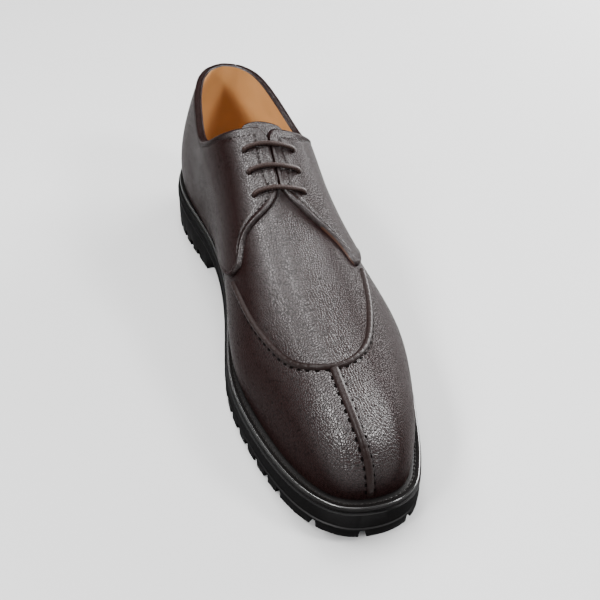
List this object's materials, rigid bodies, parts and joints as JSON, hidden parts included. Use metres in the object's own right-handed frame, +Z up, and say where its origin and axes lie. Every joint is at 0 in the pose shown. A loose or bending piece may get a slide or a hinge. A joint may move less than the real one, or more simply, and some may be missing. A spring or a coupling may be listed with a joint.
{
  "type": "split-toe derby shoe",
  "caption": "Left split-toe derby shoe in dark brown pebble-grain leather, with a raised apron seam, straight lacing, a welt and a lugged rubber sole with a heel.",
  "frame": {"origin": "on the floor, under the middle of the shoe's bounding box", "axes": "+Z up; +Y towards the heel, so the toe points to -Y; +X towards the outer (lateral) side of the left foot"},
  "size_m": [0.0996, 0.3101, 0.1104],
  "materials": {
    "upper_leather": "dark brown pebble grain, semi-gloss",
    "overlay_leather": "dark brown pebble grain, semi-gloss",
    "insole_leather": "tan, matt",
    "welt_black": "black, waxed edge",
    "sole_rubber": "black, matt",
    "lace_cord": "dark brown waxed cotton"
  },
  "bodies": {
    "root": {"upper": "upper_leather", "quarter_medial": "overlay_leather", "quarter_lateral": "overlay_leather", "back_strap": "overlay_leather", "tongue": "upper_leather", "insole": "insole_leather", "welt": "welt_black", "outsole": "sole_rubber", "heel": "sole_rubber", "lace_bar_1": "lace_cord", "lace_bar_2": "lace_cord", "lace_bar_3": "lace_cord"}
  },
  "joints": []
}
